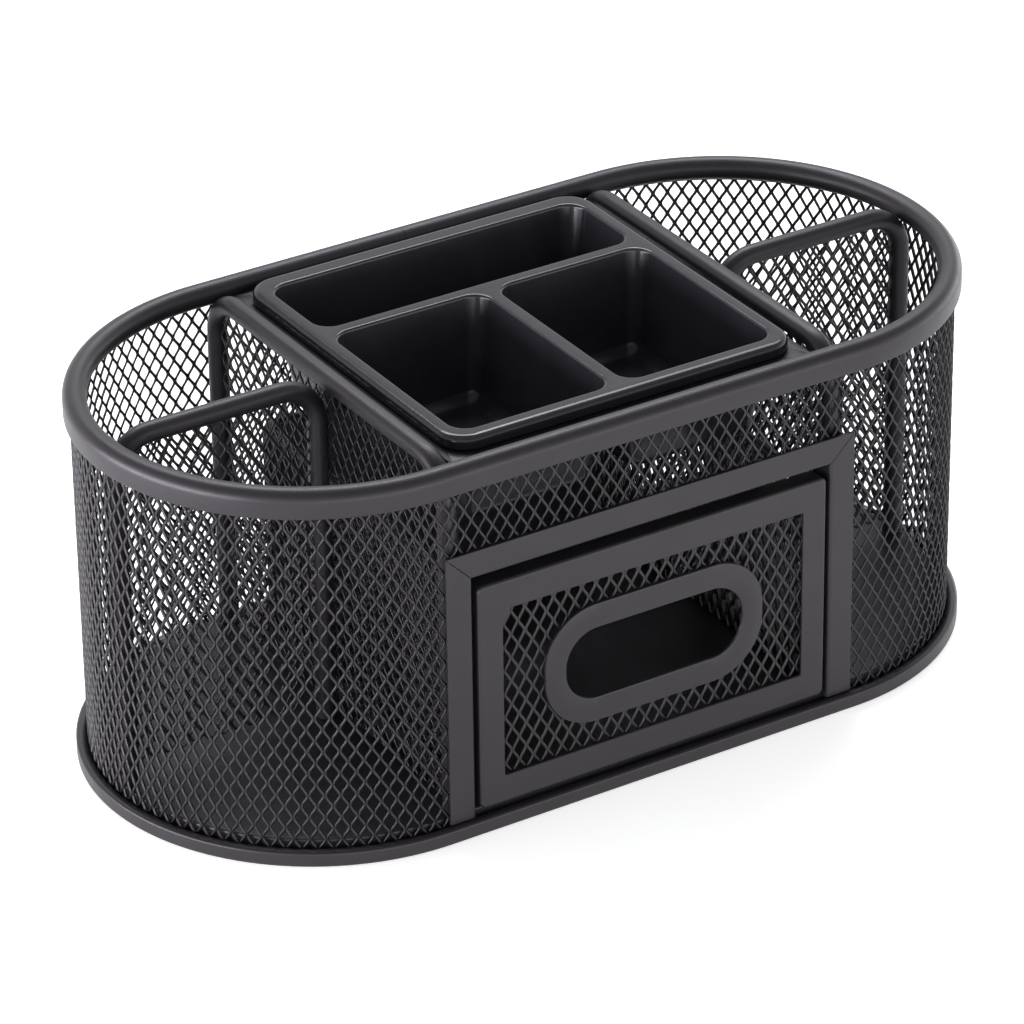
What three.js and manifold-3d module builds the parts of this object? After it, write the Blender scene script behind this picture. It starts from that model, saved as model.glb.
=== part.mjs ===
// Oval mesh desk organizer: a stadium-shaped wall of expanded steel on a pressed pan, with tube
// dividers, a pull-out drawer in a folded frame and a lift-off moulded tray. Millimetres, +Z up.
// +X runs along the length, the drawer faces -Y, and the origin is the middle of the footprint.
import * as THREE from 'three';
import Module from 'manifold-3d';
import { mergeVertices } from 'three/addons/utils/BufferGeometryUtils.js';

const wasm = await Module();
wasm.setup();
const { Manifold, Mesh: ManifoldMesh } = wasm;

// ---- driving dimensions ------------------------------------------------------------------------

const GAP = 0.3;                // clearance between pieces that touch on the real object
const SHEET = 0.9;              // folded and pressed sheet steel
const MESH_T = 1.1;             // overall thickness of the expanded mesh
const HEIGHT = 118;             // table to the top of the rim
const CORE_HALF = 69;           // half the straight side of the oval
const RIM_OUTER = 70;           // oval radius at the outside of the rim
const BEAD_OUTER = 71.5;        // oval radius at the outside of the base bead

const RIM_R = 3.5;              // round top of the rolled rim
const RIM_DROP = 8.4;           // rim height on its outer side
const RIM_MID = RIM_OUTER - RIM_R;

const WALL_OUT = 68.2;          // outer face of the mesh wall
const WALL_IN = WALL_OUT - MESH_T;

const FLOOR_TOP = 6.5;          // top of the pan's raised floor
const STEP_R = 66.6;            // oval radius of the raised floor
const TROUGH_TOP = 3;           // ledge between the step and the bead, where the mesh stands
const BEAD_TOP = 5;
const BEAD_INNER = 68.4;        // oval radius where the trough meets the bead

const TUBE_R = 3;               // divider tubes
const TUBE_BEND = 12;           // centre-line radius of their corners
const TUBE_Z = HEIGHT - TUBE_R;
const DIVIDER_X = 64;           // planes of the two cross dividers
const LEG_REACH = WALL_IN - GAP - TUBE_R;

const OPEN_HALF = 59.8;         // clear opening of the drawer frame
const OPEN_TOP = 82;
const STRIP_W = 8.4;            // face width of the frame strips
const RETURN_DEPTH = 8;         // depth of the folded returns of the frame
const FRAME_FRONT = -69.4;      // front face of the frame strips

const DRAWER_HALF = 58.4;       // half width of the drawer front
const DRAWER_BOTTOM = 7.2;
const DRAWER_TOP = 78.8;
const DRAWER_FRONT = -69.9;     // front face of the drawer front
const DRAWER_BACK = 51;         // back of the drawer box
const DRAWER_FLANGE = 5;        // depth of the folded edge behind the drawer front
const BORDER_SIDE = 8;          // solid border round the mesh window
const BORDER_LOW = 8.9;
const BORDER_HIGH = 9.3;
const CORNER_FILL_W = 2.8;      // web across the window's upper left corner
const CORNER_FILL_H = 5.4;
const WIRE_R = 1.5;             // edge wire of the drawer box
const WIRE_Z = 75.5;

const PULL_Z = 42.9;            // centre of the finger pull
const PULL_W = 73.4;
const PULL_H = 38;
const PULL_CORNER = 17;
const SLOT_W = 59.4;
const SLOT_H = 22.5;
const SLOT_CORNER = 10.5;

const TRAY_HALF = 57.5;         // half width of the tray's lip
const TRAY_FRONT = -57;
const TRAY_BACK = 60.3;
const TRAY_CORNER = 9;
const TRAY_WALL = 1.8;
const TRAY_FLOOR = 87.5;        // inside floor of the wells
const WELL_HALF = 52.5;
const WELL_CORNER = 6;
const WELL_DRAFT = 5.1;         // how much a well narrows on each side, from mouth to floor
const WEB = 4.6;                // web between the wells
const WELL_BACK = 53.5;         // back edge of the long well
const WELL_SPLIT = 20.2;        // middle of the web behind the two front wells
const WELL_FRONT = -51.5;

const LEDGE_TOP = 113.6;        // sheet ledge that the tray's skirt rests on
const LEDGE_HALF = 59.9;
const LEDGE_REACH = 62.6;
const LEDGE_FLANGE = 3;

// ---- materials ---------------------------------------------------------------------------------

const powderCoat = new THREE.MeshStandardMaterial({ color: 0x2b2a2c, roughness: 0.45, metalness: 0.2 });
const coatedMesh = new THREE.MeshStandardMaterial({ color: 0x242325, roughness: 0.5, metalness: 0.2 });
const trayPlastic = new THREE.MeshStandardMaterial({ color: 0x1d1d21, roughness: 0.25, metalness: 0 });

// ---- geometry helpers --------------------------------------------------------------------------

function toManifold(geometry) {
  const bare = geometry.clone();
  bare.deleteAttribute('normal');
  bare.deleteAttribute('uv');
  const merged = mergeVertices(bare, 1e-4);
  return new Manifold(new ManifoldMesh({
    numProp: 3,
    vertProperties: Float32Array.from(merged.attributes.position.array),
    triVerts: Uint32Array.from(merged.index.array),
  }));
}

function fromManifold(solid) {
  const { vertProperties, triVerts } = solid.getMesh();
  const geometry = new THREE.BufferGeometry();
  geometry.setAttribute('position', new THREE.BufferAttribute(Float32Array.from(vertProperties), 3));
  geometry.setIndex(new THREE.BufferAttribute(Uint32Array.from(triVerts), 1));
  geometry.computeVertexNormals();
  return geometry;
}

function join(...pieces) {
  return fromManifold(pieces.map(toManifold).reduce((sum, next) => sum.add(next)));
}

function cut(body, ...tools) {
  return fromManifold(tools.map(toManifold).reduce((left, tool) => left.subtract(tool), toManifold(body)));
}

function box(x0, x1, y0, y1, z0, z1) {
  const geometry = new THREE.BoxGeometry(x1 - x0, y1 - y0, z1 - z0);
  return geometry.translate((x0 + x1) / 2, (y0 + y1) / 2, (z0 + z1) / 2);
}

// Rectangle with round corners, centred on (cx, cy).
function roundedRect(width, height, radius, cx = 0, cy = 0) {
  const x = width / 2 - radius;
  const y = height / 2 - radius;
  const shape = new THREE.Shape();
  shape.absarc(cx + x, cy - y, radius, -Math.PI / 2, 0);
  shape.absarc(cx + x, cy + y, radius, 0, Math.PI / 2);
  shape.absarc(cx - x, cy + y, radius, Math.PI / 2, Math.PI);
  shape.absarc(cx - x, cy - y, radius, Math.PI, 1.5 * Math.PI);
  shape.closePath();
  return shape;
}

// The same, given by its edges.
function roundedSpan(x0, x1, y0, y1, radius) {
  return roundedRect(x1 - x0, y1 - y0, radius, (x0 + x1) / 2, (y0 + y1) / 2);
}

function plate(shape, z0, z1, curveSegments = 6) {
  const geometry = new THREE.ExtrudeGeometry(shape, { depth: z1 - z0, bevelEnabled: false, curveSegments });
  return geometry.translate(0, 0, z0);
}

// A shape drawn in X and Z, standing upright between two Y values.
function uprightPlate(shape, y0, y1, curveSegments = 6) {
  return plate(shape, -y1, -y0, curveSegments).rotateX(Math.PI / 2);
}

// Index triples that fill a closed outline of [x, y] points.
function triangles(outline) {
  return THREE.ShapeUtils.triangulateShape(outline.map(([x, y]) => new THREE.Vector2(x, y)), []);
}

// Sweeps a section of [a, b] points through stations that each have an origin and two axes.
function sweep(stations, section, closed) {
  const positions = [];
  for (const { origin, u, v } of stations) {
    for (const [a, b] of section) {
      const point = origin.clone().addScaledVector(u, a).addScaledVector(v, b);
      positions.push(point.x, point.y, point.z);
    }
  }
  const count = section.length;
  const indices = [];
  const spans = closed ? stations.length : stations.length - 1;
  for (let i = 0; i < spans; i += 1) {
    const here = i * count;
    const there = ((i + 1) % stations.length) * count;
    for (let j = 0; j < count; j += 1) {
      const k = (j + 1) % count;
      indices.push(here + j, there + j, there + k, here + j, there + k, here + k);
    }
  }
  if (!closed) {
    const last = (stations.length - 1) * count;
    for (const [a, b, c] of triangles(section)) {
      indices.push(a, b, c);
      indices.push(last + a, last + c, last + b);
    }
  }
  const geometry = new THREE.BufferGeometry();
  geometry.setAttribute('position', new THREE.Float32BufferAttribute(positions, 3));
  geometry.setIndex(indices);
  geometry.computeVertexNormals();
  return geometry;
}

// A section of [radius, z] points carried round the oval.
function ovalRing(section, arcSteps = 28) {
  const stations = [];
  for (const side of [1, -1]) {
    for (let i = 0; i <= arcSteps; i += 1) {
      const angle = (i / arcSteps - 0.5) * Math.PI;
      stations.push({
        origin: new THREE.Vector3(side * CORE_HALF, 0, 0),
        u: new THREE.Vector3(side * Math.cos(angle), side * Math.sin(angle), 0),
        v: new THREE.Vector3(0, 0, 1),
      });
    }
  }
  return sweep(stations, section, true);
}

// Block whose round-cornered outline changes from one loop of points to another of the same count.
function loft(lower, upper, z0, z1) {
  const positions = [...lower.flatMap(([x, y]) => [x, y, z0]), ...upper.flatMap(([x, y]) => [x, y, z1])];
  const count = lower.length;
  const indices = [];
  for (let i = 0; i < count; i += 1) {
    const next = (i + 1) % count;
    indices.push(i, next, count + next, i, count + next, count + i);
  }
  for (const [a, b, c] of triangles(lower)) {
    indices.push(a, c, b);
    indices.push(count + a, count + b, count + c);
  }
  const geometry = new THREE.BufferGeometry();
  geometry.setAttribute('position', new THREE.Float32BufferAttribute(positions, 3));
  geometry.setIndex(indices);
  return geometry;
}

function ovalShape(radius) {
  const shape = new THREE.Shape();
  shape.absarc(CORE_HALF, 0, radius, -Math.PI / 2, Math.PI / 2);
  shape.absarc(-CORE_HALF, 0, radius, Math.PI / 2, 1.5 * Math.PI);
  shape.closePath();
  return shape;
}

function arcPoints(cx, cy, radius, fromDeg, toDeg, steps) {
  return Array.from({ length: steps + 1 }, (_, i) => {
    const angle = THREE.MathUtils.degToRad(fromDeg + (toDeg - fromDeg) * i / steps);
    return [cx + radius * Math.cos(angle), cy + radius * Math.sin(angle)];
  });
}

// Round bar bent into a U with two legs and round corners. along and up are the plane of the U,
// low and high its two legs' places on along, and legEnd and top the extent on up.
function bentBar({ along, up, offset, low, high, legEnd, top, bend, radius, sides = 12, bendSteps = 6 }) {
  const across = new THREE.Vector3().crossVectors(along, up);
  const stations = [];
  const place = (s, t, angle) => stations.push({
    origin: offset.clone().addScaledVector(along, s).addScaledVector(up, t),
    u: across,
    v: along.clone().multiplyScalar(Math.cos(angle)).addScaledVector(up, Math.sin(angle)),
  });
  place(low, legEnd, Math.PI);
  for (const [centre, from] of [[low + bend, Math.PI], [high - bend, Math.PI / 2]]) {
    for (let i = 0; i <= bendSteps; i += 1) {
      const angle = from - (i / bendSteps) * Math.PI / 2;
      place(centre + bend * Math.cos(angle), top - bend + bend * Math.sin(angle), angle);
    }
  }
  place(high, legEnd, 0);
  return sweep(stations, arcPoints(0, 0, radius, 0, 360 - 360 / sides, sides - 1), false);
}

const X = new THREE.Vector3(1, 0, 0);
const Y = new THREE.Vector3(0, 1, 0);
const Z = new THREE.Vector3(0, 0, 1);

const organizer = new THREE.Group();
organizer.name = 'desk_organizer';

function add(name, geometry, material) {
  const mesh = new THREE.Mesh(geometry, material);
  mesh.name = name;
  organizer.add(mesh);
}

// ---- base pan, wall and rim --------------------------------------------------------------------

// Outline of the pan's edge: foot, bead, trough and step, from the inside round to the inside.
const beadMid = BEAD_OUTER - 1.5;
const panEdge = [
  [STEP_R - SHEET, TROUGH_TOP - SHEET],
  [BEAD_INNER, TROUGH_TOP - SHEET],
  [BEAD_INNER + 0.4, 0],
  [beadMid + 0.6, 0],
  ...arcPoints(beadMid, BEAD_TOP / 2, BEAD_TOP / 2, -45, 135, 6)
    .map(([r, z]) => [Math.min(r, BEAD_OUTER), z]),
  [BEAD_INNER + 0.1, TROUGH_TOP + 0.3],
  [BEAD_INNER, TROUGH_TOP],
  [STEP_R, TROUGH_TOP],
  [STEP_R, FLOOR_TOP],
  [STEP_R - SHEET, FLOOR_TOP],
];
add('base_pan', join(
  ovalRing(panEdge),
  plate(ovalShape(STEP_R - SHEET / 2), FLOOR_TOP - SHEET, FLOOR_TOP, 28),
), powderCoat);

// The wall is one strip of mesh, cut out at the front for the drawer.
const wallBottom = TROUGH_TOP + 0.4;
const wallTop = HEIGHT - RIM_DROP - GAP;
const cutHalf = OPEN_HALF + SHEET + GAP + 0.2;
add('wall_mesh', cut(
  ovalRing([[WALL_IN, wallBottom], [WALL_OUT, wallBottom], [WALL_OUT, wallTop], [WALL_IN, wallTop]]),
  box(-cutHalf, cutHalf, -WALL_OUT - 1, -WALL_IN + 4, wallBottom - 1, OPEN_TOP + SHEET + GAP + 0.2),
), coatedMesh);

// Sheet rolled over the top edge of the mesh: round on top, straight down on the outside.
const rimLow = HEIGHT - RIM_DROP;
add('top_rim', ovalRing([
  [RIM_MID + 0.4, rimLow],
  [RIM_OUTER - 1, rimLow],
  [RIM_OUTER - 0.2, rimLow + 0.9],
  ...arcPoints(RIM_MID, HEIGHT - RIM_R, RIM_R, 0, 260, 13),
]), powderCoat);

// ---- dividers ----------------------------------------------------------------------------------

// Mesh panel that fills a bent bar, drawn in the bar's own plane.
function panelShape(low, high, bottom) {
  const inset = TUBE_R + GAP;
  const radius = TUBE_BEND - inset;
  const top = TUBE_Z - inset;
  const shape = new THREE.Shape();
  shape.moveTo(low + inset, bottom);
  shape.lineTo(high - inset, bottom);
  shape.absarc(high - inset - radius, top - radius, radius, 0, Math.PI / 2);
  shape.absarc(low + inset + radius, top - radius, radius, Math.PI / 2, Math.PI);
  shape.closePath();
  return shape;
}

const legEnd = FLOOR_TOP + GAP;
const crossPanelBottom = FLOOR_TOP + 1.5;
const endPanelBottom = FLOOR_TOP + 5;
const endNear = DIVIDER_X + MESH_T / 2 + GAP + TUBE_R;
const endFar = CORE_HALF + LEG_REACH;

for (const [side, label] of [[-1, 'left'], [1, 'right']]) {
  add(`cross_divider_tube_${label}`, bentBar({
    along: Y, up: Z, offset: new THREE.Vector3(side * DIVIDER_X, 0, 0),
    low: -LEG_REACH, high: LEG_REACH, legEnd, top: TUBE_Z, bend: TUBE_BEND, radius: TUBE_R,
  }), powderCoat);

  const crossPanel = plate(panelShape(-LEG_REACH, LEG_REACH, crossPanelBottom), -MESH_T / 2, MESH_T / 2);
  crossPanel.rotateX(Math.PI / 2).rotateZ(Math.PI / 2).translate(side * DIVIDER_X, 0, 0);
  add(`cross_divider_mesh_${label}`, crossPanel, coatedMesh);

  const low = side > 0 ? endNear : -endFar;
  const high = side > 0 ? endFar : -endNear;
  add(`end_divider_tube_${label}`, bentBar({
    along: X, up: Z, offset: new THREE.Vector3(0, 0, 0),
    low, high, legEnd, top: TUBE_Z, bend: TUBE_BEND, radius: TUBE_R,
  }), powderCoat);
  add(`end_divider_mesh_${label}`,
    uprightPlate(panelShape(low, high, endPanelBottom), -MESH_T / 2, MESH_T / 2), coatedMesh);
}

// ---- drawer frame, stop and runners ------------------------------------------------------------

const frameBack = FRAME_FRONT + SHEET;
const returnBack = frameBack + RETURN_DEPTH;
const mitre = GAP / 2;          // half the open line at each mitred corner

// Top rail: a strip that widens upwards to 45 degree mitres, folded back under itself.
const railFace = new THREE.Shape();
railFace.moveTo(-OPEN_HALF + mitre, OPEN_TOP);
railFace.lineTo(OPEN_HALF - mitre, OPEN_TOP);
railFace.lineTo(OPEN_HALF + STRIP_W - mitre, OPEN_TOP + STRIP_W);
railFace.lineTo(-OPEN_HALF - STRIP_W + mitre, OPEN_TOP + STRIP_W);
railFace.closePath();
add('drawer_frame_top_rail', join(
  uprightPlate(railFace, FRAME_FRONT, frameBack),
  box(-OPEN_HALF + GAP, OPEN_HALF - GAP, FRAME_FRONT + SHEET / 2, returnBack, OPEN_TOP, OPEN_TOP + SHEET),
), powderCoat);

const jambBottom = BEAD_TOP + GAP;
for (const [side, label] of [[-1, 'left'], [1, 'right']]) {
  const face = new THREE.Shape();
  face.moveTo(side * OPEN_HALF, jambBottom);
  face.lineTo(side * (OPEN_HALF + STRIP_W), jambBottom);
  face.lineTo(side * (OPEN_HALF + STRIP_W), OPEN_TOP + STRIP_W - mitre);
  face.lineTo(side * OPEN_HALF, OPEN_TOP - mitre);
  face.closePath();
  const inner = side * OPEN_HALF;
  const outer = side * (OPEN_HALF + SHEET);
  add(`drawer_frame_jamb_${label}`, join(
    uprightPlate(face, FRAME_FRONT, frameBack),
    box(Math.min(inner, outer), Math.max(inner, outer), FRAME_FRONT + SHEET / 2, returnBack,
      FLOOR_TOP + GAP, OPEN_TOP - GAP),
  ), powderCoat);
}

// Small tab behind the top rail. It hangs just low enough to catch the drawer's back edge.
const TAB_X = 34.5;
const TAB_W = 9;
const TAB_LOW = 76.2;
const tabFront = returnBack + GAP;
add('drawer_stop_tab', join(
  box(TAB_X, TAB_X + TAB_W, tabFront, tabFront + SHEET, TAB_LOW, OPEN_TOP + SHEET + GAP + SHEET),
  box(TAB_X, TAB_X + TAB_W, tabFront - 5, tabFront + SHEET,
    OPEN_TOP + SHEET + GAP, OPEN_TOP + 2 * SHEET + GAP),
), powderCoat);

// Angle strips on the pan that keep the drawer straight.
const RUNNER_H = 6;
const runnerIn = DRAWER_HALF + 0.4;
const runnerOut = DIVIDER_X - MESH_T / 2 - GAP;
for (const [side, label] of [[-1, 'left'], [1, 'right']]) {
  const section = [[runnerIn, 0], [runnerOut, 0], [runnerOut, SHEET], [runnerIn + SHEET, SHEET],
    [runnerIn + SHEET, RUNNER_H], [runnerIn, RUNNER_H]];
  const shape = new THREE.Shape(section.map(([x, z]) => new THREE.Vector2(side * x, legEnd + z)));
  add(`drawer_runner_${label}`, uprightPlate(shape, returnBack + GAP, DRAWER_BACK + 4), powderCoat);
}

// ---- drawer ------------------------------------------------------------------------------------

const drawerMidZ = (DRAWER_BOTTOM + DRAWER_TOP) / 2;
const drawerHeight = DRAWER_TOP - DRAWER_BOTTOM;
const faceBack = DRAWER_FRONT + SHEET;
const flangeBack = faceBack + DRAWER_FLANGE;
const windowHalf = DRAWER_HALF - BORDER_SIDE;
const windowLow = DRAWER_BOTTOM + BORDER_LOW;
const windowHigh = DRAWER_TOP - BORDER_HIGH;

const outline = (inset) => roundedRect(
  2 * (DRAWER_HALF - inset), drawerHeight - 2 * inset, 1.2, 0, drawerMidZ,
);
const windowShape = new THREE.Shape();
windowShape.moveTo(-windowHalf, windowLow);
windowShape.lineTo(windowHalf, windowLow);
windowShape.lineTo(windowHalf, windowHigh);
windowShape.lineTo(-windowHalf + CORNER_FILL_W, windowHigh);
windowShape.lineTo(-windowHalf, windowHigh - CORNER_FILL_H);
windowShape.closePath();
add('drawer_front_border', cut(
  uprightPlate(outline(0), DRAWER_FRONT, flangeBack, 3),
  uprightPlate(outline(SHEET), faceBack, flangeBack + 1, 3),
  uprightPlate(windowShape, DRAWER_FRONT - 1, faceBack + 1),
), powderCoat);

const meshFront = faceBack + GAP;
const frontMesh = roundedSpan(-windowHalf - 3, windowHalf + 3, windowLow - 3, windowHigh + 3, 0.8);
frontMesh.holes.push(roundedRect(SLOT_W + 0.8, SLOT_H + 0.8, SLOT_CORNER, 0, PULL_Z));
add('drawer_front_mesh', uprightPlate(frontMesh, meshFront, meshFront + MESH_T), coatedMesh);

const pullRing = roundedRect(PULL_W, PULL_H, PULL_CORNER, 0, PULL_Z);
pullRing.holes.push(roundedRect(SLOT_W, SLOT_H, SLOT_CORNER, 0, PULL_Z));
add('finger_pull_ring', uprightPlate(pullRing, DRAWER_FRONT, faceBack, 10), powderCoat);

const boxHalf = DRAWER_HALF - 1.4;      // middle of the drawer's side walls and edge wire
const boxOut = boxHalf + MESH_T / 2;
const floorTop = DRAWER_BOTTOM + 0.6;
const sideFront = flangeBack + GAP;
const wallLow = floorTop + GAP;
const wallHigh = WIRE_Z - WIRE_R - GAP;
const backIn = DRAWER_BACK - SHEET;
add('drawer_floor',
  box(-boxOut, boxOut, sideFront, DRAWER_BACK, floorTop - SHEET, floorTop), powderCoat);
for (const [side, label] of [[-1, 'left'], [1, 'right']]) {
  const middle = side * boxHalf;
  add(`drawer_side_mesh_${label}`,
    box(middle - MESH_T / 2, middle + MESH_T / 2, sideFront, backIn - GAP, wallLow, wallHigh), coatedMesh);
}
add('drawer_back',
  box(-boxOut, boxOut, backIn, DRAWER_BACK, wallLow, wallHigh), powderCoat);

// Wire along the top of the box, from one end of the front round the back to the other.
add('drawer_edge_wire', bentBar({
  along: X, up: Y, offset: new THREE.Vector3(0, 0, WIRE_Z), low: -boxHalf, high: boxHalf,
  legEnd: sideFront, top: DRAWER_BACK - SHEET / 2, bend: 4, radius: WIRE_R, sides: 10, bendSteps: 4,
}), powderCoat);

// ---- tray and its ledge ------------------------------------------------------------------------

const wells = [
  [-WELL_HALF, WELL_HALF, WELL_SPLIT + WEB / 2, WELL_BACK],
  [-WELL_HALF, -WEB / 2, WELL_FRONT, WELL_SPLIT - WEB / 2],
  [WEB / 2, WELL_HALF, WELL_FRONT, WELL_SPLIT - WEB / 2],
];
const trayHollow = (inset, z0, z1) => plate(
  roundedSpan(-TRAY_HALF + inset, TRAY_HALF - inset, TRAY_FRONT + inset, TRAY_BACK - inset,
    TRAY_CORNER - inset),
  z0, z1,
);
const skirtLow = LEDGE_TOP + GAP;
const lipLow = HEIGHT - TRAY_WALL;
const wellLoop = ([x0, x1, y0, y1], inset) => {
  const r = WELL_CORNER - Math.min(inset, WELL_CORNER / 2);
  const corner = inset + r;
  return [
    ...arcPoints(x1 - corner, y0 + corner, r, -90, 0, 6),
    ...arcPoints(x1 - corner, y1 - corner, r, 0, 90, 6),
    ...arcPoints(x0 + corner, y1 - corner, r, 90, 180, 6),
    ...arcPoints(x0 + corner, y0 + corner, r, 180, 270, 6),
  ];
};
const wellShell = (well) => loft(
  wellLoop(well, WELL_DRAFT - TRAY_WALL), wellLoop(well, -TRAY_WALL),
  TRAY_FLOOR - TRAY_WALL, HEIGHT - TRAY_WALL / 2,
);
const wellSpace = (well) => loft(wellLoop(well, WELL_DRAFT), wellLoop(well, 0), TRAY_FLOOR, HEIGHT + 0.1);
const lip = cut(trayHollow(0, skirtLow, HEIGHT), trayHollow(TRAY_WALL, skirtLow - 1, lipLow));
add('organizer_tray', cut(join(lip, ...wells.map(wellShell)), ...wells.map(wellSpace)), trayPlastic);

// Sheet ledge between the cross dividers, folded down round its hole for stiffness.
const TRAY_SLACK = 0.9;         // room between the wells and the hole they hang in
const holeHalf = WELL_HALF + TRAY_WALL + TRAY_SLACK;
const holeFront = WELL_FRONT - TRAY_WALL - TRAY_SLACK;
const holeBack = WELL_BACK + TRAY_WALL + TRAY_SLACK;
const holeCorner = WELL_CORNER + TRAY_WALL + 0.6;
const ledgeHole = (grow, z0, z1) => plate(
  roundedSpan(-holeHalf - grow, holeHalf + grow, holeFront - grow, holeBack + grow, holeCorner + grow), z0, z1,
);
const ledgeLow = LEDGE_TOP - SHEET;
add('tray_ledge_frame', cut(
  join(
    box(-LEDGE_HALF, LEDGE_HALF, -LEDGE_REACH, LEDGE_REACH, ledgeLow, LEDGE_TOP),
    ledgeHole(SHEET, ledgeLow - LEDGE_FLANGE, LEDGE_TOP - SHEET / 2),
  ),
  ledgeHole(0, ledgeLow - LEDGE_FLANGE - 1, LEDGE_TOP + 1),
), powderCoat);

export default organizer;
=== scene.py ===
"""Looks of the oval mesh desk organizer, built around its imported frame.

The frame is in metres, +Z up, with the drawer facing -Y. Shapes below are worked out in millimetres,
from the boxes of the CAD nodes and a few dimensions of the real thing, and scaled once in piece().
"""

import math
from collections import namedtuple

import bmesh
import bpy
from mathutils import Matrix, Vector
from mathutils.geometry import tessellate_polygon


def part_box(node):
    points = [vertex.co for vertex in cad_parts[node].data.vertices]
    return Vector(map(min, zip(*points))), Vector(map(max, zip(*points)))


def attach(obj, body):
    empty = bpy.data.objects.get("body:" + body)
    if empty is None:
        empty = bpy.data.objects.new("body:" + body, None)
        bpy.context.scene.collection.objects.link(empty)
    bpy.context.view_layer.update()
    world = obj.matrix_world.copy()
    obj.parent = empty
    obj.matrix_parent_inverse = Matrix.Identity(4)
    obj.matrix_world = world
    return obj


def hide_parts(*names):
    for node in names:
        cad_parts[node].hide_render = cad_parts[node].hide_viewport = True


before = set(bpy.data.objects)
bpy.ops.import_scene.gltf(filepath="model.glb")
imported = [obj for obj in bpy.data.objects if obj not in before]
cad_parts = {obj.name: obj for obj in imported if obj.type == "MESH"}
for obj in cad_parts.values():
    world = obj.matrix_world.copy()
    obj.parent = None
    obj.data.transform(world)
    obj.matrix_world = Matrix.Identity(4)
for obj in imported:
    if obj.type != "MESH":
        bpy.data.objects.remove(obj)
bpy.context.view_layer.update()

MM = 0.001


class Span:
    """A CAD node's box at rest, in millimetres."""

    def __init__(self, node):
        low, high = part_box(node)
        (self.x0, self.y0, self.z0), (self.x1, self.y1, self.z1) = low / MM, high / MM


rim = Span("top_rim")
pan = Span("base_pan")
wall = Span("wall_mesh")
rail = Span("drawer_frame_top_rail")
jamb = Span("drawer_frame_jamb_right")
front = Span("drawer_front_border")
panel = Span("drawer_front_mesh")
ring = Span("finger_pull_ring")
back_wall = Span("drawer_back")
wire = Span("drawer_edge_wire")
tray = Span("organizer_tray")
ledge = Span("tray_ledge_frame")

SIDES = ((-1, "left"), (1, "right"))

# ---- driving dimensions, in millimetres --------------------------------------------------------

SHEET = 0.9                         # folded and pressed sheet steel
HEIGHT = rim.z1
CORE_HALF = rim.x1 - rim.y1         # half the straight side of the oval
RIM_R = 3.5                         # round top of the rolled rim
RIM_MID = rim.y1 - RIM_R
RIM_JOINT = 0.12                    # open line of the rim's butt joint at the back
RIM_CURL = 262                      # degrees that the sheet goes round the rim's top
RIM_TUCK = 2.5                      # how far the wall's mesh goes up inside the rim
RIM_FOOT_IN, RIM_FOOT_LIFT = 0.9, 0.1       # lower edge of the rim's outer side
RIM_END_IN, RIM_END_LIFT = 0.4, 0.3         # where the curled sheet ends, behind it
WALL_HALF = 0.55                    # half the thickness of the CAD node of the wall's mesh
WALL_MID = wall.y1 - WALL_HALF      # oval radius of the middle of the mesh
FLOOR_TOP = pan.z1
STEP_R = 66.6                       # oval radius of the pan's raised floor
FLOOR_LAND = 4                      # width of floor that is swept round with the step
TROUGH_TOP = 3
BEAD_R = 2.5                        # rolled bead that the pan stands on
BEAD_MID = pan.y1 - 1.5             # oval radius of its middle: its outer side is pressed flat
BEAD_NECK = 1.6                     # from the bead's middle in to where the trough meets it
BEAD_MOUTH, BEAD_LIFT = 1.2, 0.02   # inner end of the rolled edge, and its height
TUBE_R = 3
TUBE_BEND = 12
STRIP_W = 8.4                       # face width of the drawer frame's strips
OPEN_HALF = jamb.x0                 # clear opening of the frame
OPEN_TOP = rail.z0
MITRE = 0.3                         # open line at the frame's mitred corners
FOLD_R = 1.2                        # bend between a strip's face and its return
RETURN_LIFT = 1.5                   # how far the jambs' returns stop above their feet
CUT_CLEAR = 0.6                     # from the frame's returns to the cut edge of the wall's mesh
CUT = 0.2                           # rounding that the coat leaves on a cut edge
THIN_CUT = 0.15                     # the same on the smaller sheets
LEAST_R = 0.05                      # no round corner is smaller than this
MOST_OF_SIDE = 0.49                 # largest share of a side that the round of one corner takes up
BORDER_SIDE, BORDER_LOW, BORDER_HIGH = 8, 8.9, 9.3      # widths of the drawer front's border
BORDER_TUCK = 2.5                   # how far the drawer's front mesh goes behind its border
BORDER_CORNER, WINDOW_CORNER = 2, 0.5       # corner radii of the drawer front and of its window
LEAST_BORDER_CORNER = 0.3           # and of the front's inner edges
EDGE_R = 1.0                        # soft bend round the drawer front
FACE_CUT = 0.18                     # rounding of the border's cut edges
CORNER_FILL_W, CORNER_FILL_H = 2.8, 5.4     # web across the window's upper left corner
SLOT_W, SLOT_H, SLOT_CORNER = 59.4, 22.5, 10.5          # finger slot
PULL_CORNER = 17                    # outer corners of the pull ring
PULL_TUCK = 2                       # how far the mesh goes behind the pull ring, round the slot
BEVEL = 0.45                        # soft edges of the pull ring
FLOOR_CORNER, BACK_CORNER = 1.5, 1.0        # corner radii of the drawer's floor and back
WIRE_BEND = 4                       # bends of the drawer's edge wire
TAB_CORNER = 1.2                    # lower corners of the stop tab
PULL_Z = (ring.z0 + ring.z1) / 2

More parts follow.
